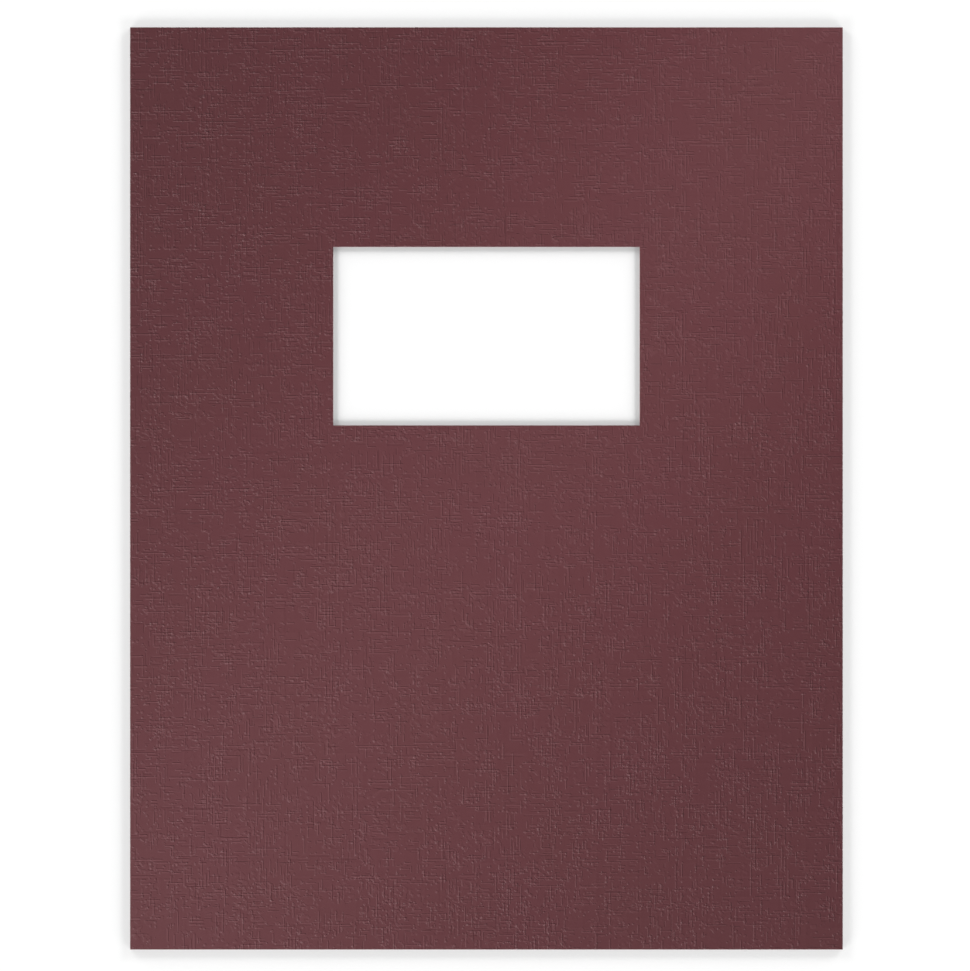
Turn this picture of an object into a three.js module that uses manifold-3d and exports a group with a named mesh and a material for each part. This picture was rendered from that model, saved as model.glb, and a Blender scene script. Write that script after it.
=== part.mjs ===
// A report cover: one letter-size sheet of linen-embossed card with a die-cut title window.
// Millimetres, +Z up. The sheet lies face up on the XY plane, its head towards +Y,
// with the origin under the middle of the sheet.
import * as THREE from "three";
import { mergeVertices } from "three/addons/utils/BufferGeometryUtils.js";
import Module from "manifold-3d";

// The sheet, guillotined from embossed card
const sheetWidth = 215.9;
const sheetHeight = 279.4;
const cardThickness = 0.36;
const cutEase = 0.05;

// The window, die-cut, midway between the side edges
const windowWidth = 92.9;
const windowHeight = 54.1;
const windowHeadMargin = 66.5;

// The linen emboss: slubs, the thick stretches of the bold threads, stand proud of the front face
const threadPitch = 1.04;
const widestBoldStep = 4;
const slubSpacing = 14.2;
const slubWidth = 0.6;
const slubRise = 0.06;
const slubTaper = 1.8;
const slubShortest = 7;
const slubLongest = 19;
const slubSeed = 8511;

// The card, dyed through
const cardColour = 0x6b4448;
const cardRoughness = 0.72;

const wasm = await Module();
wasm.setup();

// A closed geometry as a solid. Triangles that close up to a line at a pole are left out.
function toSolid(geometry) {
  const bare = geometry.index ? geometry.toNonIndexed() : geometry.clone();
  bare.deleteAttribute("normal");
  bare.deleteAttribute("uv");
  const merged = mergeVertices(bare, 1e-4);
  const triangles = [];
  const corners = merged.index.array;
  for (let i = 0; i < corners.length; i += 3) {
    const [a, b, c] = corners.slice(i, i + 3);
    if (a !== b && b !== c && c !== a) triangles.push(a, b, c);
  }
  return new wasm.Manifold(
    new wasm.Mesh({
      numProp: 3,
      vertProperties: new Float32Array(merged.attributes.position.array),
      triVerts: new Uint32Array(triangles),
    }),
  );
}

// A solid back as a geometry with flat faces.
function toGeometry(solid) {
  const mesh = solid.getMesh();
  const geometry = new THREE.BufferGeometry();
  geometry.setAttribute("position", new THREE.BufferAttribute(mesh.vertProperties, 3));
  geometry.setIndex(new THREE.BufferAttribute(mesh.triVerts, 1));
  const faceted = geometry.toNonIndexed();
  faceted.computeVertexNormals();
  return faceted;
}

// The same run of numbers from 0 to 1 on every build.
function seededRandom(seed) {
  let state = seed >>> 0;
  return () => {
    state = (state + 0x6d2b79f5) >>> 0;
    let mixed = Math.imul(state ^ (state >>> 15), 1 | state);
    mixed ^= mixed + Math.imul(mixed ^ (mixed >>> 7), 61 | mixed);
    return ((mixed ^ (mixed >>> 14)) >>> 0) / 4294967296;
  };
}

// A rectangle's outline by its middle and its two sides.
function rectangle(path, centreX, centreY, width, height) {
  path.moveTo(centreX - width / 2, centreY - height / 2);
  path.lineTo(centreX + width / 2, centreY - height / 2);
  path.lineTo(centreX + width / 2, centreY + height / 2);
  path.lineTo(centreX - width / 2, centreY + height / 2);
  path.closePath();
  return path;
}

const windowCentreY = sheetHeight / 2 - windowHeadMargin - windowHeight / 2;

// The sheet's outline with its window, drawn in from every cut by the inset.
function coverOutline(inset) {
  const outline = rectangle(new THREE.Shape(), 0, 0, sheetWidth - 2 * inset, sheetHeight - 2 * inset);
  const opening = new THREE.Path();
  rectangle(opening, 0, windowCentreY, windowWidth + 2 * inset, windowHeight + 2 * inset);
  outline.holes.push(opening);
  return outline;
}

// The card itself. The blade and the die leave every cut edge a little eased.
function cardBlank() {
  const blank = new THREE.ExtrudeGeometry(coverOutline(0), {
    depth: cardThickness - 2 * cutEase,
    bevelEnabled: true,
    bevelThickness: cutEase,
    bevelSize: cutEase,
    bevelOffset: -cutEase,
    bevelSegments: 1,
  });
  blank.translate(0, 0, cutEase);
  return toSolid(blank);
}

// One slub along Y, half sunk in the front face: a spindle with tapered ends and a low crest.
function slub(length) {
  const spindle = new THREE.LatheGeometry(
    [
      new THREE.Vector2(0, -length / 2),
      new THREE.Vector2(slubWidth / 2, slubTaper - length / 2),
      new THREE.Vector2(slubWidth / 2, length / 2 - slubTaper),
      new THREE.Vector2(0, length / 2),
    ],
    4,
  );
  spindle.scale(1, 1, slubRise / (slubWidth / 2));
  return spindle;
}

// Where the bold threads lie across a span: whole pitches apart, one to widestBoldStep at a time.
function boldThreads(span, random) {
  const last = Math.floor(span / 2 / threadPitch) - 1;
  const places = [];
  let thread = -last;
  while (thread <= last) {
    places.push(thread * threadPitch);
    thread += 1 + Math.floor(random() * widestBoldStep);
  }
  return places;
}

// The place among several that is closest to a target.
function nearest(places, target) {
  const closer = (best, place) => (Math.abs(place - target) < Math.abs(best - target) ? place : best);
  return places.reduce(closer);
}

// One warp slub, up the sheet, and one weft slub, across it, somewhere in each cell of a loose grid.
// Each keeps to a bold thread of the weave.
function scatterSlubs() {
  const random = seededRandom(slubSeed);
  const warpThreads = boldThreads(sheetWidth, random);
  const weftThreads = boldThreads(sheetHeight, random);
  const columns = Math.round(sheetWidth / slubSpacing);
  const rows = Math.round(sheetHeight / slubSpacing);
  const slubs = [];
  const layOne = (turn, x, y) => {
    const length = THREE.MathUtils.lerp(slubShortest, slubLongest, random());
    slubs.push(toSolid(slub(length).rotateZ(turn).translate(x, y, cardThickness)));
  };
  for (let row = 0; row < rows; row++) {
    for (let column = 0; column < columns; column++) {
      const across = () => ((column + random()) / columns - 0.5) * sheetWidth;
      const up = () => ((row + random()) / rows - 0.5) * sheetHeight;
      layOne(0, nearest(warpThreads, across()), up());
      layOne(Math.PI / 2, across(), nearest(weftThreads, up()));
    }
  }
  return wasm.Manifold.union(slubs);
}

// The emboss runs off every cut, because the card is embossed before it is trimmed.
function trimmedEmboss() {
  const field = new THREE.ExtrudeGeometry(coverOutline(cutEase), {
    depth: 2 * slubRise,
    bevelEnabled: false,
  });
  field.translate(0, 0, cardThickness - slubRise);
  return scatterSlubs().intersect(toSolid(field));
}

const cardMaterial = new THREE.MeshStandardMaterial({
  color: cardColour,
  roughness: cardRoughness,
  metalness: 0,
});

const cover = new THREE.Mesh(toGeometry(cardBlank().add(trimmedEmboss())), cardMaterial);
cover.name = "cover_sheet";

const reportCover = new THREE.Group();
reportCover.add(cover);

export default reportCover;
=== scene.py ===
"""Finishes a report cover: presses the linen threads into its card, colours it, and sets stage and camera."""

import math

import bmesh
import bpy
import numpy as np
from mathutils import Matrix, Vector
from mathutils.bvhtree import BVHTree


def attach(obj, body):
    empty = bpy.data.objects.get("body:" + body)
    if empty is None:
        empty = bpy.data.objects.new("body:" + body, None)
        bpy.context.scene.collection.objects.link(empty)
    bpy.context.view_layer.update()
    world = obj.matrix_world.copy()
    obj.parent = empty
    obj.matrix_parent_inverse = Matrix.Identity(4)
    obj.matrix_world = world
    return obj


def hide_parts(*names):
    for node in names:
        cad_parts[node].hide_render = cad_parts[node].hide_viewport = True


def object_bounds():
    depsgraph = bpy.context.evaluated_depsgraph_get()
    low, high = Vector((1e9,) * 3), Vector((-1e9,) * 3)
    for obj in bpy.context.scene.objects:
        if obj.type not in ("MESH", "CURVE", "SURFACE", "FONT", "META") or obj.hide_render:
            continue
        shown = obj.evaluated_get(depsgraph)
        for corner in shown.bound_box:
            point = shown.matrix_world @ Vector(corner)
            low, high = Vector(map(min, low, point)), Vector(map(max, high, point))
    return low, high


bl_info = {
    "name": "Report Cover Finish",
    "version": (1, 0, 0),
    "blender": (4, 5, 0),
    "location": "3D View > Sidebar > Report Cover",
    "description": "Presses linen threads into a windowed card cover and sets it on a stage",
    "category": "Object",
}

MM = 0.001
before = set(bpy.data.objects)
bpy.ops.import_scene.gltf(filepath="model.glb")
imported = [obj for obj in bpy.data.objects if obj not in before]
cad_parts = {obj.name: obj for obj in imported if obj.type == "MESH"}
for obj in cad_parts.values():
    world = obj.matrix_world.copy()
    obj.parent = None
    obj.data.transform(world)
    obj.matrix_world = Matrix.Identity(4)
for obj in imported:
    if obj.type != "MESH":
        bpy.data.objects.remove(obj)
CAD_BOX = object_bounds()

# The photograph's frame, and where the sheet lies in it, in pixels
PHOTO_SIZE = (970, 971)
SHEET_CENTRE_PX = (486.45, 488.44)
PIXELS_PER_METRE = 3301.0

# Two places closer than this are one and the same
SAME_PLACE = 0.001 * MM

# The mesh: widest gap between its lines, and the least distance of a rib's line from a cut
WIDEST_GAP = 3.0 * MM
CLEAR_OF_CUT = 0.12 * MM

# A bold thread between its slubs: the wave at which it shows, what it takes to stand full, its height
SHOWS_FROM = 0.55
FULL_AFTER = 0.3
LOWER_STRETCH = 0.7

# A thread of the fine weave, in thread pitches: how far it wanders, its half width and its flank
THREAD_WANDER = 0.5
THREAD_SLIMMEST = 0.20
THREAD_SPREAD = 0.12
THREAD_FLANK = 0.17

# A dash of a thread, in dash lengths: how much its ends are cut back at most, and its taper
DASH_CUT = 0.45
DASH_TAPER = 0.06

# How high a raised dash stands, how low a sunk one lies, and the share that is sunk
RAISED = 1.0
SUNK = -0.6
SUNK_SHARE = 0.22

# Bands of the weave: how many times longer than wide, and the share of threads shown in the densest
BAND_STRETCH = 6.0
DENSEST = 0.97

# Heights of a knot, a lump and the felt beside a thread's, and the height at which a crest is palest
KNOT_HEIGHT = 0.85
LUMP_HEIGHT = 0.55
FELT_HEIGHT = 0.30
PALEST_AT = 1.6

# Knots, in thread pitches and their own cells: spacing, least and most reach, and flank
KNOT_SPACING = 1.3
KNOT_REACH = (0.21, 0.42)
KNOT_FLANK = 0.16

# How the front changes from its hollows to its crests: painted shade that darkens hollows and lightens
# crests, a painted grey highlight on the crests, and roughness about the middle
PAINTED_SHADE_RANGE = (0.96, 1.08)
PAINTED_HIGHLIGHT_RANGE = (-0.0004, 0.0080)
ROUGHNESS_SPREAD = 0.06

# Where the lights stand, and their two sides, in metres
KEY_PLACE = (-3.75, -3.75, 2.7)
SIDE_PLACES = ((3.75, -3.75, 2.7), (3.75, 3.75, 2.7), (-3.75, 3.75, 2.7))
LOW_CORNERS = ((-3.5, -3.5), (3.5, -3.5), (3.5, 3.5), (-3.5, 3.5))
FLOOR_LIGHT_HEIGHT = 0.34
WINDOW_LIGHT_HEIGHT = 0.50
STRIP_HEIGHT = 0.12
STRIP_TILT = math.radians(-8.0)
FILL_HEIGHT = 4.0
SIDE_LIGHT_SIZE = (2.0, 2.0)
STRIP_SIZE = (0.02, 0.90)
FLOOR_LIGHT_SIZE = (3.0, 0.64)
WINDOW_LIGHT_SIZE = (3.0, 0.95)
FILL_SIZE = (1.0, 1.0)

# The floor round the card lies this much lower than the floor in the window, out of sight,
# and the floor in the window reaches this far under the card
FLOOR_DROP = 0.05 * MM
WINDOW_FLOOR_MARGIN = 5 * MM


class CoverSettings(bpy.types.PropertyGroup):
    """What a user would change on the card."""

    thread_pitch: bpy.props.FloatProperty(
        name="Thread pitch",
        description="Distance from one pressed thread to the next",
        default=1.04 * MM,
        subtype="DISTANCE",
        unit="LENGTH",
        precision=5,
    )
    thread_depth: bpy.props.FloatProperty(
        name="Thread depth",
        description="How deep the fine threads between the bold ones are pressed",
        default=0.095 * MM,
        subtype="DISTANCE",
        unit="LENGTH",
        precision=5,
    )
    thread_run: bpy.props.FloatProperty(
        name="Thread run",
        description="Usual length of a fine thread before it sinks into the card",
        default=6.2 * MM,
        subtype="DISTANCE",
        unit="LENGTH",
        precision=4,
    )
    slub_width: bpy.props.FloatProperty(
        name="Slub width",
        description="Width of a bold thread at its foot",
        default=0.42 * MM,
        subtype="DISTANCE",
        unit="LENGTH",
        precision=5,
    )
    slub_run: bpy.props.FloatProperty(
        name="Slub run",
        description="Usual length of a raised stretch of a bold thread",
        default=6.0 * MM,
        subtype="DISTANCE",
        unit="LENGTH",
        precision=4,
    )
    band_width: bpy.props.FloatProperty(
        name="Band width",
        description="Width of the long bands in which the fine threads lie dense or sparse",
        default=3.6 * MM,
        subtype="DISTANCE",
        unit="LENGTH",
        precision=4,
    )
    patch_size: bpy.props.FloatProperty(
        name="Patch size",
        description="Size of the areas that have small lumps or none",
        default=4.0 * MM,
        subtype="DISTANCE",
        unit="LENGTH",
        precision=4,
    )
    seed: bpy.props.IntProperty(
        name="Seed",
        description="Picks another run of threads",
        default=8511,
        min=0,
    )
    card_colour: bpy.props.FloatVectorProperty(
        name="Card colour",
        description="Colour of the dyed card",
        default=(0.0876, 0.0208, 0.0254),
        subtype="COLOR",
        min=0.0,
        max=1.0,
    )
    card_roughness: bpy.props.FloatProperty(
        name="Card roughness",
        description="How matt the pressed face is",
        default=0.53,
        subtype="FACTOR",
        min=0.0,
        max=1.0,
    )
    fibre_size: bpy.props.FloatProperty(
        name="Fibre size",
        description="Size of the paper fibres",
        default=0.35 * MM,
        subtype="DISTANCE",
        unit="LENGTH",
        precision=5,
    )


class StageSettings(bpy.types.PropertyGroup):
    """What a user would change on the stage."""

    floor_colour: bpy.props.FloatVectorProperty(
        name="Floor colour",
        description="Colour of the plain floor",
        default=(0.90, 0.90, 0.90),
        subtype="COLOR",
        min=0.0,
        max=1.0,
    )
    room_light: bpy.props.FloatProperty(
        name="Room light",
        description="Strength of the even light from all round",
        default=0.20,
        min=0.0,
    )
    key_power: bpy.props.FloatProperty(
        name="Key power",
        description="Power of the soft light that rakes over the threads",
        default=500.0,
        subtype="POWER",
        unit="POWER",
        min=0.0,
    )
    side_power: bpy.props.FloatProperty(
        name="Side power",
        description="Power of each of the three weaker lights round the card",
        default=62.0,
        subtype="POWER",
        unit="POWER",
        min=0.0,
    )
    strip_power: bpy.props.FloatProperty(
        name="Strip power",
        description="Power of the long light over the sheet's diagonal",
        default=0.277,
        subtype="POWER",
        unit="POWER",
        min=0.0,
    )
    floor_power: bpy.props.FloatProperty(
        name="Floor power",
        description="Power of each of the four low lights that whiten the floor round the card",
        default=530.0,
        subtype="POWER",
        unit="POWER",
        min=0.0,
    )
    window_power: bpy.props.FloatProperty(
        name="Window power",
        description="Power of each of the four low lights that whiten the floor in the window",
        default=610.0,
        subtype="POWER",
        unit="POWER",
        min=0.0,
    )
    fill_power: bpy.props.FloatProperty(
        name="Fill power",
        description="Power of the light high over the floor, which keeps the card's shadow pale",
        default=62.0,
        subtype="POWER",
        unit="POWER",
        min=0.0,
    )
    lens: bpy.props.FloatProperty(
        name="Lens",
        description="Focal length of the camera",
        default=100.0,
        subtype="DISTANCE_CAMERA",
        unit="CAMERA",
        min=1.0,
    )


class PackedCard:
    """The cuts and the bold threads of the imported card, read from its mesh."""

    def __init__(self):
        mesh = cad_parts["cover_sheet"].data
        points = np.array([v.co for v in mesh.vertices], dtype=float)
        self.left, self.foot = points[:, 0].min(), points[:, 1].min()
        self.right, self.head = points[:, 0].max(), points[:, 1].max()
        self.top = points[:, 2].max()
        below = points[points[:, 2] < SAME_PLACE]
        at_rim = np.abs(below[:, 0]) > 0.4 * np.ptp(below[:, 0])
        self.ease = self.right - below[at_rim, 0].max()
        self.window_left = below[~at_rim, 0].min() + self.ease
        self.window_right = below[~at_rim, 0].max() - self.ease
        self.window_foot = below[~at_rim, 1].min() + self.ease
        self.window_head = below[~at_rim, 1].max() - self.ease
        self.across = (self.left, self.window_left, self.window_right, self.right)
        self.up = (self.foot, self.window_foot, self.window_head, self.head)
        polygons = [tuple(p.vertices) for p in mesh.polygons]
        self.surface = BVHTree.FromPolygons([v.co for v in mesh.vertices], polygons)
        samples = np.linspace(self.foot, self.head, 200)[1:-1]
        self.ground = float(np.median([self.height(self.left * 0.7, y) for y in samples]))
        ends = points[np.array([e.vertices for e in mesh.edges])]
        crest = ends[:, :, 2].min(axis=1) > self.top - SAME_PLACE
        self.warp_threads = crest_places(ends[crest], 0)
        self.weft_threads = crest_places(ends[crest], 1)

    def height(self, x, y):
        """Height of the card's front face at a place, or 0 in the window."""
        hit = self.surface.ray_cast(Vector((x, y, 1.0)), Vector((0, 0, -1)))[0]
        return hit.z if hit else 0.0

    def rise(self, x, y):
        """How far the card's own slubs stand over the ground at a place."""
        return max(0.0, self.height(x, y) - self.ground)

    def in_window(self, x, y):
        """Whether a place lies in the die-cut window."""
        across = self.window_left < x < self.window_right
        return across and self.window_foot < y < self.window_head


def crest_places(ends, axis):
    """Places along an axis at which slub crests run straight along the other one."""
    still = np.abs(ends[:, 0, axis] - ends[:, 1, axis]) < SAME_PLACE
    runs = np.abs(ends[:, 0, 1 - axis] - ends[:, 1, 1 - axis]) > 0.1 * MM
    return np.unique(np.round(ends[still & runs, 0, axis], 5))


def deselect_everything():
    """Nothing is selected and nothing is being edited."""
    if bpy.context.object is not None and bpy.context.object.mode != "OBJECT":
        bpy.ops.object.mode_set(mode="OBJECT")
    bpy.ops.object.select_all(action="DESELECT")


def mesh_lines(cuts, ease, threads, slub_width):
    """Where the mesh lines stand along one axis: the cuts, where their ease starts, and each bold thread."""
    edge_a, start, stop, edge_b = cuts
    fixed = np.array([edge_a, edge_a + ease, start - ease, start, stop, stop + ease, edge_b - ease, edge_b])
    ribs = (threads[:, None] + np.array([-0.5, 0, 0.5])[None, :] * slub_width).ravel()
    ribs = ribs[(ribs > edge_a) & (ribs < edge_b)]
    clear = np.min(np.abs(ribs[:, None] - fixed[None, :]), axis=1) > CLEAR_OF_CUT
    lines = np.unique(np.concatenate([fixed, ribs[clear]]))
    gaps = np.diff(lines)
    middles = lines[:-1][gaps > WIDEST_GAP] + gaps[gaps > WIDEST_GAP] / 2
    return np.unique(np.concatenate([lines, middles]))


def smooth_run(random, places, spacing):
    """A smooth random line from 0 to 1 over the places, with its knots a spacing apart."""
    knots = int((places[-1] - places[0]) / spacing) + 4
    values = random.random(knots)
    along = (places - places[0]) / spacing + random.random()
    low = np.floor(along).astype(int)
    share = along - low
    share = share * share * (3 - 2 * share)
    return values[low] * (1 - share) + values[low + 1] * share


def thread_relief(card, threads, lines, along, is_warp, settings, random):
    """Relief of one set of bold threads at each crossing of the mesh lines, in metres."""
    rise = card.top - card.ground
    heights = np.zeros((len(threads), len(along)))
    for number, thread in enumerate(threads):
        slub = smooth_run(random, along, settings.slub_run)
        nub = smooth_run(random, along, settings.slub_run / 3)
        own = np.clip((0.7 * slub + 0.5 * nub - SHOWS_FROM) / FULL_AFTER, 0, 1) * LOWER_STRETCH * rise
        packed = [card.rise(thread, place) if is_warp else card.rise(place, thread) for place in along]
        heights[number] = np.maximum(own, packed)
    offsets = np.abs(lines[:, None] - threads[None, :])
    closest = np.argmin(offsets, axis=1)
    weight = np.clip(1 - offsets[np.arange(len(lines)), closest] / (settings.slub_width / 2), 0, 1)
    return heights[closest] * weight[:, None]


def rule_grid(xs, ys):
    """A flat grid of faces, and the column and row of the mesh lines that each vertex stands on."""
    deselect_everything()
    bpy.ops.mesh.primitive_grid_add(
        x_subdivisions=len(xs) - 1,
        y_subdivisions=len(ys) - 1,
        size=2,
        location=(0, 0, 0),
    )
    sheet = bpy.context.object
    sheet.name = "embossed_sheet"
    flat = np.array([v.co for v in sheet.data.vertices])
    columns = np.rint((flat[:, 0] + 1) / 2 * (len(xs) - 1)).astype(int)
    rows = np.rint((flat[:, 1] + 1) / 2 * (len(ys) - 1)).astype(int)
    return sheet, columns, rows


def press_front(sheet, card, xs, ys, columns, rows, settings):
    """Stands the grid's vertices on the card's front face, with the bold threads raised."""
    random = np.random.default_rng(settings.seed)
    warp = thread_relief(card, card.warp_threads, xs, ys, True, settings, random)
    weft = thread_relief(card, card.weft_threads, ys, xs, False, settings, random).T
    relief = np.minimum(np.maximum(warp, weft), card.top - card.ground)
    x, y = xs[columns], ys[rows]
    z = card.ground + relief[columns, rows]
    tiny = card.ease / 10
    at_edge = (x < card.left + tiny) | (x > card.right - tiny)
    at_edge |= (y < card.foot + tiny) | (y > card.head - tiny)
    at_window = (x > card.window_left - tiny) & (x < card.window_right + tiny)
    at_window &= (y > card.window_foot - tiny) & (y < card.window_head + tiny)
    z[at_edge | at_window] = card.ground - card.ease
    sheet.data.vertices.foreach_set("co", np.stack([x, y, z], 1).ravel())
    sheet.data.update()


def select_by_place(mesh, kind, test):
    """Selects the vertices or faces whose place passes the test."""
    bpy.ops.mesh.select_mode(type=kind)
    bpy.ops.mesh.select_all(action="DESELECT")
    bm = bmesh.from_edit_mesh(mesh)
    for item in bm.faces if kind == "FACE" else bm.verts:
        place = item.calc_center_median() if kind == "FACE" else item.co
        if test(place):
            item.select_set(True)
    bm.select_flush_mode()
    bmesh.update_edit_mesh(mesh)


def cut_window(sheet, card):
    """Takes out the faces inside the die-cut window."""
    select_by_place(sheet.data, "FACE", lambda p: card.in_window(p.x, p.y))
    bpy.ops.mesh.delete(type="FACE")


def drop_cut_edges(sheet, card):
    """Runs every cut edge down to the underside, and draws its foot back by the ease."""
    ease = card.ease
    bpy.ops.mesh.select_mode(type="EDGE")
    bpy.ops.mesh.select_all(action="DESELECT")
    bpy.ops.mesh.select_non_manifold(extend=False)
    wall = card.ground - 2 * ease
    bpy.ops.mesh.extrude_region_move(TRANSFORM_OT_translate={"value": (0, 0, -wall)})
    bpy.ops.mesh.extrude_region_move(TRANSFORM_OT_translate={"value": (0, 0, -ease)})
    near = ease / 4
    reach = ease + near
    window_x = (card.window_left - reach, card.window_right + reach)
    window_y = (card.window_foot - reach, card.window_head + reach)
    everywhere = (-1.0, 1.0)
    sides = (
        (0, card.left, ease, everywhere),
        (0, card.right, -ease, everywhere),
        (1, card.foot, ease, everywhere),
        (1, card.head, -ease, everywhere),
        (0, card.window_left, -ease, window_y),
        (0, card.window_right, ease, window_y),
        (1, card.window_foot, -ease, window_x),
        (1, card.window_head, ease, window_x),
    )
    for axis, place, move, span in sides:

        def on_side(p):
            beside = span[0] < p[1 - axis] < span[1]
            return p.z < near and abs(p[axis] - place) < near and beside

        select_by_place(sheet.data, "VERT", on_side)
        bpy.ops.transform.translate(value=(move, 0, 0) if axis == 0 else (0, move, 0))


def close_underside(sheet, card):
    """Rules four edges across the underside, in line with the window's sides, and fills the four panels."""
    near = card.ease / 4
    left, right = card.window_left - card.ease, card.window_right + card.ease
    foot, head = card.window_foot - card.ease, card.window_head + card.ease
    low, high = card.foot + card.ease, card.head - card.ease
    for x in (left, right):
        for start, stop in ((low, foot), (head, high)):

            def at_end(p):
                return p.z < near and abs(p.x - x) < near and min(abs(p.y - start), abs(p.y - stop)) < near

            select_by_place(sheet.data, "VERT", at_end)
            bpy.ops.mesh.edge_face_add()
    panels = (
        (card.left, left, low, high),
        (right, card.right, low, high),
        (left, right, low, foot),
        (left, right, head, high),
    )
    for x0, x1, y0, y1 in panels:

        def in_panel(p):
            return p.z < near and x0 - near < p.x < x1 + near and y0 - near < p.y < y1 + near

        select_by_place(sheet.data, "VERT", in_panel)
        bpy.ops.mesh.edge_face_add()
    bpy.ops.mesh.select_all(action="SELECT")
    bpy.ops.mesh.normals_make_consistent(inside=False)


def count_open_edges(mesh):
    """How many edges don't lie between exactly two faces."""
    bm = bmesh.new()
    bm.from_mesh(mesh)
    count = sum(1 for edge in bm.edges if not edge.is_manifold)
    bm.free()
    return count


def model_sheet(settings):
    """Models the sheet: ruled grid, threads, window, cut edges and underside."""
    card = PackedCard()
    xs = mesh_lines(card.across, card.ease, card.warp_threads, settings.slub_width)
    ys = mesh_lines(card.up, card.ease, card.weft_threads, settings.slub_width)
    sheet, columns, rows = rule_grid(xs, ys)
    press_front(sheet, card, xs, ys, columns, rows, settings)
    bpy.ops.object.mode_set(mode="EDIT")
    cut_window(sheet, card)
    drop_cut_edges(sheet, card)
    close_underside(sheet, card)
    bpy.ops.object.mode_set(mode="OBJECT")
    open_edges = count_open_edges(sheet.data)
    if open_edges:
        raise RuntimeError(f"The sheet has {open_edges} open edges")
    return sheet


class Nodes:
    """A short way to place and join shader nodes in a tree."""

    def __init__(self, tree):
        self.tree = tree
        self.count = 0

    def add(self, kind, inputs=None, **settings):
        """A new node with its settings, and its inputs fed."""
        node = self.tree.nodes.new(kind)
        node.location = (200 * (self.count % 8), -260 * (self.count // 8))
        self.count += 1
        for name, value in settings.items():
            setattr(node, name, value)
        for name, value in (inputs or {}).items():
            self.feed(node.inputs[name], value)
        return node

    def feed(self, socket, value):
        """Joins a socket to an output, or gives it a plain value."""
        if isinstance(value, bpy.types.NodeSocket):
            self.tree.links.new(value, socket)
        else:
            socket.default_value = value

    def group(self, tree, inputs):
        """The outputs of a placed shader group."""
        node = self.add("ShaderNodeGroup", node_tree=tree)
        for name, value in inputs.items():
            self.feed(node.inputs[name], value)
        return node.outputs

    def math(self, operation, a, b=0.0, c=0.0):
        """The output of one sum."""
        return self.add("ShaderNodeMath", {0: a, 1: b, 2: c}, operation=operation).outputs[0]

    def between(self, value, low, high, to_low=0.0, to_high=1.0, kind="LINEAR"):
        """The output of a value taken from one range to another."""
        inputs = {"Value": value, "From Min": low, "From Max": high, "To Min": to_low, "To Max": to_high}
        node = self.add("ShaderNodeMapRange", interpolation_type=kind)
        for name, part in inputs.items():
            self.feed(node.inputs[name], part)
        return node.outputs["Result"]

    def scaled(self, colour, share):
        """The output of a colour made lighter or darker."""
        node = self.add("ShaderNodeVectorMath", operation="SCALE")
        self.feed(node.inputs[0], colour)
        self.feed(node.inputs["Scale"], share)
        return node.outputs["Vector"]


def new_group(name, inputs, outputs):
    """An empty shader group, its nodes, and the sockets at its two ends."""
    tree = bpy.data.node_groups.new(name, "ShaderNodeTree")
    for label, kind in inputs:
        tree.interface.new_socket(label, in_out="INPUT", socket_type=kind)
    for label, kind in outputs:
        tree.interface.new_socket(label, in_out="OUTPUT", socket_type=kind)
    nodes = Nodes(tree)
    start = nodes.add("NodeGroupInput")
    end = nodes.add("NodeGroupOutput")
    return tree, nodes, start.outputs, end.inputs


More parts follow.
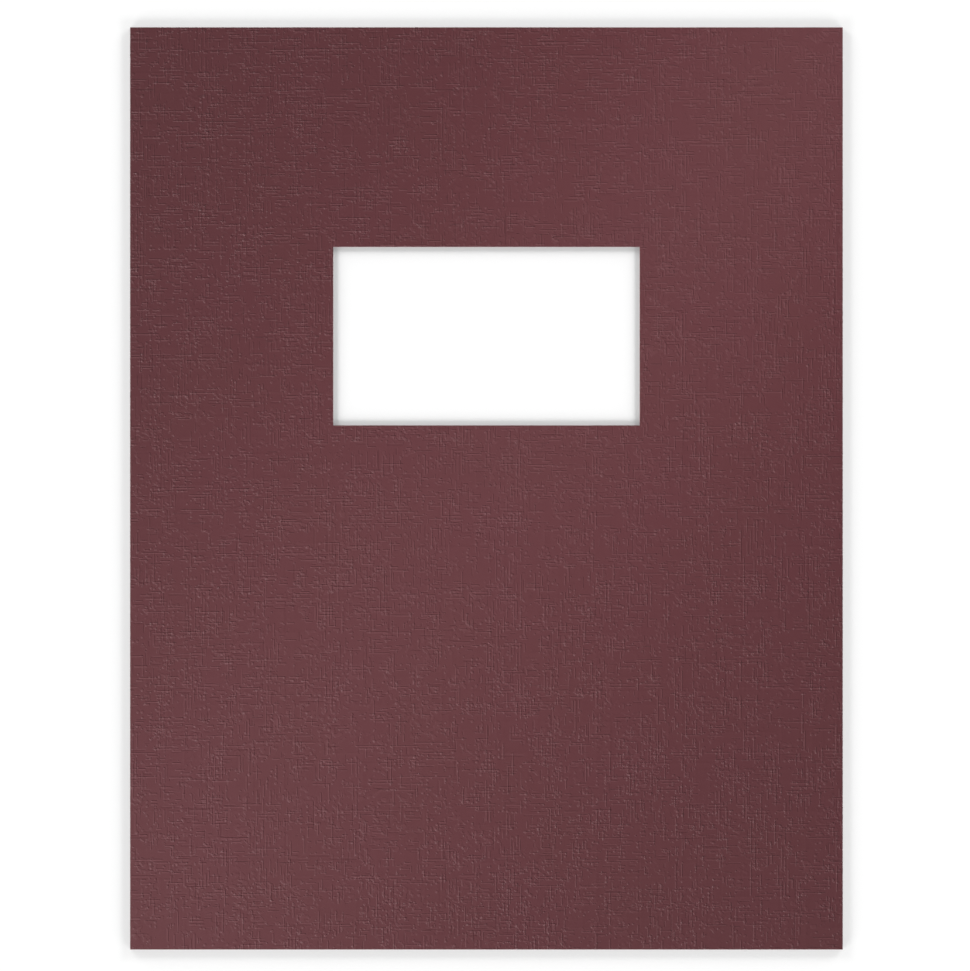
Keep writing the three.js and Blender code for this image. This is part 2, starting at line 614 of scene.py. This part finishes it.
def broken_threads_group():
    """Straight threads along Y, broken into raised and sunk dashes that lie dense or sparse in long bands."""
    tree, nodes, given, result = new_group(
        "BrokenThreads",
        [
            ("Vector", "NodeSocketVector"),
            ("Pitch", "NodeSocketFloat"),
            ("Run", "NodeSocketFloat"),
            ("Band", "NodeSocketFloat"),
        ],
        [("Height", "NodeSocketFloat"), ("Density", "NodeSocketFloat")],
    )
    place = nodes.add("ShaderNodeSeparateXYZ", {"Vector": given["Vector"]}).outputs
    band_x = nodes.math("DIVIDE", place["X"], given["Band"])
    band_y = nodes.math("DIVIDE", place["Y"], nodes.math("MULTIPLY", given["Band"], BAND_STRETCH))
    band_place = nodes.add("ShaderNodeCombineXYZ", {"X": band_x, "Y": band_y, "Z": 0.5}).outputs[0]
    band = nodes.add("ShaderNodeTexNoise", {"Vector": band_place, "Scale": 1.0, "Detail": 1.0}).outputs["Fac"]
    density = nodes.between(band, 0.38, 0.60, 0.0, DENSEST)
    across = nodes.math("DIVIDE", place["X"], given["Pitch"])
    thread = nodes.math("ROUND", across)
    start = nodes.add("ShaderNodeTexWhiteNoise", noise_dimensions="1D")
    nodes.feed(start.inputs["W"], thread)
    run = nodes.math("MULTIPLY", given["Run"], nodes.math("MULTIPLY_ADD", start.outputs["Value"], 1.7, 0.35))
    along = nodes.math("ADD", nodes.math("DIVIDE", place["Y"], run), start.outputs["Value"])
    dash = nodes.math("FLOOR", along)
    chances = []
    for number in (1.0, 2.0):
        cell = nodes.add("ShaderNodeCombineXYZ", {"X": thread, "Y": dash, "Z": number}).outputs[0]
        noise = nodes.add("ShaderNodeTexWhiteNoise", {"Vector": cell}, noise_dimensions="3D")
        chances.append(nodes.add("ShaderNodeSeparateColor", {"Color": noise.outputs["Color"]}).outputs)
    shown, aside, lift = chances[0].values()
    cut_a, cut_b, girth = chances[1].values()
    local = nodes.math("SUBTRACT", along, dash)
    from_start = nodes.math("SUBTRACT", local, nodes.math("MULTIPLY", cut_a, DASH_CUT))
    left_over = nodes.math("SUBTRACT", 1.0, local)
    from_end = nodes.math("SUBTRACT", left_over, nodes.math("MULTIPLY", cut_b, DASH_CUT))
    ends = nodes.between(nodes.math("MINIMUM", from_start, from_end), 0.0, DASH_TAPER)
    off_centre = nodes.math("SUBTRACT", across, thread)
    wander = nodes.math("MULTIPLY_ADD", aside, THREAD_WANDER, -THREAD_WANDER / 2)
    off_centre = nodes.math("SUBTRACT", off_centre, wander)
    half_width = nodes.math("MULTIPLY_ADD", girth, THREAD_SPREAD, THREAD_SLIMMEST)
    inside = nodes.math("SUBTRACT", half_width, nodes.math("ABSOLUTE", off_centre))
    profile = nodes.between(inside, 0.0, THREAD_FLANK, kind="SMOOTHSTEP")
    present = nodes.between(nodes.math("SUBTRACT", density, shown), 0.0, 0.01)
    body = nodes.math("MULTIPLY", nodes.math("MULTIPLY", profile, ends), present)
    is_raised = nodes.math("GREATER_THAN", lift, SUNK_SHARE)
    signed = nodes.math("MULTIPLY_ADD", is_raised, RAISED - SUNK, SUNK)
    nodes.feed(result["Height"], nodes.math("MULTIPLY", body, signed))
    nodes.feed(result["Density"], density)
    return tree


def fibre_group():
    """Paper fibres: a fine felted height."""
    tree, nodes, given, result = new_group(
        "PaperFibre",
        [("Vector", "NodeSocketVector"), ("Size", "NodeSocketFloat")],
        [("Height", "NodeSocketFloat")],
    )
    scale = nodes.math("DIVIDE", 1.0, given["Size"])
    felt = nodes.add(
        "ShaderNodeTexNoise",
        {"Vector": given["Vector"], "Scale": scale, "Detail": 3.0, "Roughness": 0.65, "Distortion": 0.6},
    )
    nodes.feed(result["Height"], felt.outputs["Fac"])
    return tree


def dye_and_painted_light_group():
    """The dye, a little browner in some areas and a little plummier in others, made lighter or darker by
    Shade and greyed by a painted highlight; on the pressed face Shade is painted shade and highlight.
    """
    tree, nodes, given, result = new_group(
        "DyePaintedShadeAndHighlight",
        [
            ("Vector", "NodeSocketVector"),
            ("Colour", "NodeSocketColor"),
            ("Shade", "NodeSocketFloat"),
            ("Painted highlight", "NodeSocketFloat"),
        ],
        [("Colour", "NodeSocketColor")],
    )
    cloud = nodes.add("ShaderNodeTexNoise", {"Vector": given["Vector"], "Scale": 30.0, "Detail": 3.0})
    tint = nodes.add("ShaderNodeMix", data_type="RGBA")
    nodes.feed(tint.inputs["Factor"], nodes.between(cloud.outputs["Fac"], 0.35, 0.65))
    nodes.feed(tint.inputs["A"], (0.995, 1.005, 0.985, 1))
    nodes.feed(tint.inputs["B"], (1.005, 0.995, 1.015, 1))
    product = nodes.add("ShaderNodeVectorMath", operation="MULTIPLY")
    nodes.feed(product.inputs[0], given["Colour"])
    nodes.feed(product.inputs[1], tint.outputs["Result"])
    # Painted highlight: a grey lift added to the colour, strongest on the crests of the pressed face
    with_painted_highlight = nodes.add("ShaderNodeVectorMath", operation="ADD")
    nodes.feed(with_painted_highlight.inputs[0], nodes.scaled(product.outputs["Vector"], given["Shade"]))
    nodes.feed(with_painted_highlight.inputs[1], given["Painted highlight"])
    nodes.feed(result["Colour"], with_painted_highlight.outputs["Vector"])
    return tree


def new_material(name):
    """An empty material and its nodes."""
    material = bpy.data.materials.new(name)
    material.use_nodes = True
    material.node_tree.nodes.clear()
    return material, Nodes(material.node_tree)


def finish_material(nodes, inputs):
    """Ends a material in one shader."""
    shader = nodes.add("ShaderNodeBsdfPrincipled", inputs)
    end = nodes.add("ShaderNodeOutputMaterial")
    nodes.feed(end.inputs["Surface"], shader.outputs["BSDF"])


def pressed_material(settings, threads, fibre, dye_and_painted_light):
    """The pressed face: fine broken threads both ways, knots, smooth patches, and paper fibres, with painted
    shade in its hollows and a painted highlight on its crests.
    """
    material, nodes = new_material("maroon_card")
    place = nodes.add("ShaderNodeTexCoord").outputs["Object"]
    turned = nodes.add("ShaderNodeMapping", {"Vector": place, "Rotation": (0, 0, math.pi / 2)}).outputs[0]
    patch = nodes.add("ShaderNodeTexVoronoi", voronoi_dimensions="2D", distance="CHEBYCHEV")
    nodes.feed(patch.inputs["Vector"], place)
    nodes.feed(patch.inputs["Scale"], 1 / settings.patch_size)
    choice = nodes.add("ShaderNodeSeparateColor", {"Color": patch.outputs["Color"]}).outputs
    sizes = {"Pitch": settings.thread_pitch, "Run": settings.thread_run, "Band": settings.band_width}
    warp = nodes.group(threads, {"Vector": place, **sizes})
    weft = nodes.group(threads, {"Vector": turned, **sizes})
    knot = nodes.add("ShaderNodeTexVoronoi", voronoi_dimensions="2D")
    nodes.feed(knot.inputs["Vector"], place)
    nodes.feed(knot.inputs["Scale"], 1 / (KNOT_SPACING * settings.thread_pitch))
    picked = nodes.add("ShaderNodeSeparateColor", {"Color": knot.outputs["Color"]}).outputs
    reach = nodes.between(picked["Green"], 0.0, 1.0, *KNOT_REACH)
    from_rim = nodes.math("SUBTRACT", reach, knot.outputs["Distance"])
    swell = nodes.between(from_rim, 0.0, KNOT_FLANK, kind="SMOOTHSTEP")
    crossed = nodes.math("ADD", warp["Density"], weft["Density"])
    chance = nodes.math("MULTIPLY_ADD", crossed, 0.25, picked["Red"])
    knots = nodes.math("MULTIPLY", swell, nodes.between(chance, 0.92, 0.97, 0.0, KNOT_HEIGHT))
    curl_scale = 0.9 / settings.thread_pitch
    curl = nodes.add("ShaderNodeTexNoise", {"Vector": place, "Scale": curl_scale, "Detail": 0.0})
    lumps = nodes.between(curl.outputs["Fac"], 0.53, 0.62, kind="SMOOTHSTEP")
    lumpy = nodes.math("MULTIPLY", lumps, nodes.between(choice["Blue"], 0.55, 0.75, 0.0, LUMP_HEIGHT))
    woven = nodes.math("ADD", warp["Height"], weft["Height"])
    relief = nodes.math("ADD", nodes.math("ADD", woven, knots), lumpy)
    felt = nodes.group(fibre, {"Vector": place, "Size": settings.fibre_size})["Height"]
    height = nodes.math("MULTIPLY_ADD", felt, FELT_HEIGHT, relief)
    bump = nodes.add(
        "ShaderNodeBump", {"Strength": 1.0, "Distance": settings.thread_depth, "Height": height}
    )
    # Painted shade and highlight: the colour is darker in the hollows and lighter on the crests, by height
    shade = nodes.between(height, 0.0, PALEST_AT, *PAINTED_SHADE_RANGE)
    # Painted highlight: a grey lift added on the crests, by height
    painted_highlight = nodes.between(height, 0.0, PALEST_AT, *PAINTED_HIGHLIGHT_RANGE)
    colour = (*settings.card_colour, 1)
    dyed_and_painted_light = nodes.group(dye_and_painted_light, {"Vector": place, "Colour": colour, "Shade": shade, "Painted highlight": painted_highlight})["Colour"]
    rough, smooth = (settings.card_roughness + way * ROUGHNESS_SPREAD for way in (1, -1))
    finish_material(
        nodes,
        {
            "Base Color": dyed_and_painted_light,
            "Roughness": nodes.between(height, 0.0, PALEST_AT, rough, smooth),
            "Specular IOR Level": 0.37,
            "Normal": bump.outputs["Normal"],
        },
    )
    return material


def fibrous_material(name, settings, fibre, dye_and_painted_light, rough, lift, depth, size):
    """Bare dyed card: the plain back, or the fibres that a blade lays open."""
    material, nodes = new_material(name)
    place = nodes.add("ShaderNodeTexCoord").outputs["Object"]
    felt = nodes.group(fibre, {"Vector": place, "Size": size})["Height"]
    bump = nodes.add("ShaderNodeBump", {"Strength": 1.0, "Distance": depth, "Height": felt})
    shade = nodes.between(felt, 0.3, 0.7, lift * 0.9, lift * 1.1)
    colour = (*settings.card_colour, 1)
    finish_material(
        nodes,
        {
            "Base Color": nodes.group(dye_and_painted_light, {"Vector": place, "Colour": colour, "Shade": shade})["Colour"],
            "Roughness": nodes.between(felt, 0.3, 0.7, rough + 0.05, rough - 0.05),
            "Specular IOR Level": 0.25,
            "Normal": bump.outputs["Normal"],
        },
    )
    return material


def dress_sheet(sheet, settings):
    """Gives the front, the cut edges and the back their materials, and the sheet its shading."""
    threads, fibre, dye_and_painted_light = broken_threads_group(), fibre_group(), dye_and_painted_light_group()
    size = settings.fibre_size
    edge = fibrous_material("cut_edge", settings, fibre, dye_and_painted_light, 0.85, 1.25, 0.02 * MM, size / 2)
    back = fibrous_material("plain_back", settings, fibre, dye_and_painted_light, 0.72, 1.0, 0.012 * MM, size)
    for material in (pressed_material(settings, threads, fibre, dye_and_painted_light), edge, back):
        sheet.data.materials.append(material)
    for polygon in sheet.data.polygons:
        upright = polygon.normal.z
        polygon.material_index = 0 if upright > 0.8 else 2 if upright < -0.8 else 1
    deselect_everything()
    sheet.select_set(True)
    bpy.context.view_layer.objects.active = sheet
    bpy.ops.object.shade_smooth_by_angle(angle=math.radians(30))
    bpy.ops.object.modifier_add(type="WEIGHTED_NORMAL")
    sheet.modifiers[-1].keep_sharp = True
    bpy.ops.object.modifier_apply(modifier=sheet.modifiers[-1].name)


class REPORTCOVER_OT_press_sheet(bpy.types.Operator):
    """Model the embossed sheet with its window, cut edges and back"""

    bl_idname = "report_cover.press_sheet"
    bl_label = "Press Sheet"

    def execute(self, context):
        settings = context.scene.report_cover
        sheet = model_sheet(settings)
        dress_sheet(sheet, settings)
        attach(sheet, "root")
        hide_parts("cover_sheet")
        return {"FINISHED"}


def add_floor(settings):
    """A wide, plain, pale floor under the sheet, and the patch of it that shows in the window."""
    material = bpy.data.materials.new("plain_floor")
    material.use_nodes = True
    shader = material.node_tree.nodes["Principled BSDF"]
    shader.inputs["Base Color"].default_value = (*settings.floor_colour, 1)
    shader.inputs["Roughness"].default_value = 0.9
    shader.inputs["Specular IOR Level"].default_value = 0.1
    card = PackedCard()
    middle = ((card.window_left + card.window_right) / 2, (card.window_foot + card.window_head) / 2, 0)
    patch = (card.window_right - card.window_left, card.window_head - card.window_foot)
    for name, place, size in (
        ("stage_floor", (0, 0, -FLOOR_DROP), (6, 6)),
        ("window_floor", middle, [side + 2 * WINDOW_FLOOR_MARGIN for side in patch]),
    ):
        deselect_everything()
        bpy.ops.mesh.primitive_plane_add(size=1, location=place)
        floor = bpy.context.object
        floor.name = name
        bpy.ops.transform.resize(value=(*size, 1), center_override=place)
        floor.data.materials.append(material)


def add_area_light(name, place, size, power, lit):
    """A soft rectangular light at a place, turned to the sheet, that lights one object."""
    deselect_everything()
    bpy.ops.object.light_add(type="AREA", location=place)
    lamp = bpy.context.object
    lamp.name = name
    lamp.data.shape = "RECTANGLE"
    lamp.data.size, lamp.data.size_y = size
    lamp.data.energy = power
    lamp.rotation_euler = (-Vector(place)).to_track_quat("-Z", "Y").to_euler()
    lamp.visible_camera = False
    lamp.light_linking.receiver_collection = lit
    return lamp


def lit_alone(name, item_name):
    """A collection of one object, which only says what a light falls on."""
    collection = bpy.data.collections.new(name)
    collection.objects.link(bpy.data.objects[item_name])
    return collection


def add_room_light(settings):
    """Even light from all round, in front of a white background."""
    world = bpy.data.worlds.new("room")
    bpy.context.scene.world = world
    world.use_nodes = True
    world.node_tree.nodes.clear()
    nodes = Nodes(world.node_tree)
    seen = nodes.add("ShaderNodeLightPath").outputs["Is Camera Ray"]
    strength = nodes.between(seen, 0.0, 1.0, settings.room_light, 1.0)
    background = nodes.add("ShaderNodeBackground", {"Color": (1, 1, 1, 1), "Strength": strength})
    end = nodes.add("ShaderNodeOutputWorld")
    nodes.feed(end.inputs["Surface"], background.outputs["Background"])


def add_lights(settings):
    """Room light, a key, three sides and a strip for the card, and low lights and a fill for the floor."""
    add_room_light(settings)
    card = lit_alone("lit_card", "embossed_sheet")
    floor = lit_alone("lit_floor", "stage_floor")
    window = lit_alone("lit_window", "window_floor")
    add_area_light("key_light", KEY_PLACE, SIDE_LIGHT_SIZE, settings.key_power, card)
    for place in SIDE_PLACES:
        add_area_light("side_light", place, SIDE_LIGHT_SIZE, settings.side_power, card)
    strip = add_area_light("diagonal_strip", (0, 0, STRIP_HEIGHT), STRIP_SIZE, settings.strip_power, card)
    strip.rotation_euler = (STRIP_TILT, 0, -math.atan2(CAD_BOX[1].x, CAD_BOX[1].y))
    strip.visible_glossy = False
    for x, y in LOW_CORNERS:
        floor_place, window_place = (x, y, FLOOR_LIGHT_HEIGHT), (x, y, WINDOW_LIGHT_HEIGHT)
        add_area_light("floor_light", floor_place, FLOOR_LIGHT_SIZE, settings.floor_power, floor)
        add_area_light("window_light", window_place, WINDOW_LIGHT_SIZE, settings.window_power, window)
    add_area_light("floor_fill", (0, 0, FILL_HEIGHT), FILL_SIZE, settings.fill_power, floor)


def add_camera(settings):
    """A camera straight over the sheet, framed as the photograph is."""
    deselect_everything()
    field = max(PHOTO_SIZE) / PIXELS_PER_METRE
    x = (PHOTO_SIZE[0] / 2 - SHEET_CENTRE_PX[0]) / PIXELS_PER_METRE
    y = (SHEET_CENTRE_PX[1] - PHOTO_SIZE[1] / 2) / PIXELS_PER_METRE
    bpy.ops.object.camera_add(rotation=(0, 0, 0))
    camera = bpy.context.object
    camera.data.lens = settings.lens
    height = field * camera.data.lens / camera.data.sensor_width
    camera.location = (x, y, CAD_BOX[1].z + height)
    bpy.context.scene.camera = camera


class REPORTCOVER_OT_set_stage(bpy.types.Operator):
    """Set the floor, the lights and the camera"""

    bl_idname = "report_cover.set_stage"
    bl_label = "Set Stage"

    def execute(self, context):
        settings = context.scene.report_stage
        add_floor(settings)
        add_lights(settings)
        add_camera(settings)
        context.scene.view_settings.view_transform = "Standard"
        return {"FINISHED"}


class REPORTCOVER_PT_panel(bpy.types.Panel):
    """The report cover's settings and steps"""

    bl_label = "Report Cover"
    bl_idname = "REPORTCOVER_PT_panel"
    bl_space_type = "VIEW_3D"
    bl_region_type = "UI"
    bl_category = "Report Cover"

    def draw(self, context):
        layout = self.layout
        for settings, operator in (
            (context.scene.report_cover, "report_cover.press_sheet"),
            (context.scene.report_stage, "report_cover.set_stage"),
        ):
            box = layout.box()
            for name in settings.__annotations__:
                box.prop(settings, name)
            box.operator(operator)


CLASSES = (
    CoverSettings,
    StageSettings,
    REPORTCOVER_OT_press_sheet,
    REPORTCOVER_OT_set_stage,
    REPORTCOVER_PT_panel,
)


def register():
    """Makes the settings, operators and panel known."""
    for cls in CLASSES:
        bpy.utils.register_class(cls)
    bpy.types.Scene.report_cover = bpy.props.PointerProperty(type=CoverSettings)
    bpy.types.Scene.report_stage = bpy.props.PointerProperty(type=StageSettings)


def unregister():
    """Takes them away again."""
    del bpy.types.Scene.report_stage
    del bpy.types.Scene.report_cover
    for cls in reversed(CLASSES):
        bpy.utils.unregister_class(cls)


def main():
    """Registers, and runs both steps."""
    register()
    bpy.ops.report_cover.press_sheet()
    bpy.ops.report_cover.set_stage()


if __name__ == "__main__":
    main()
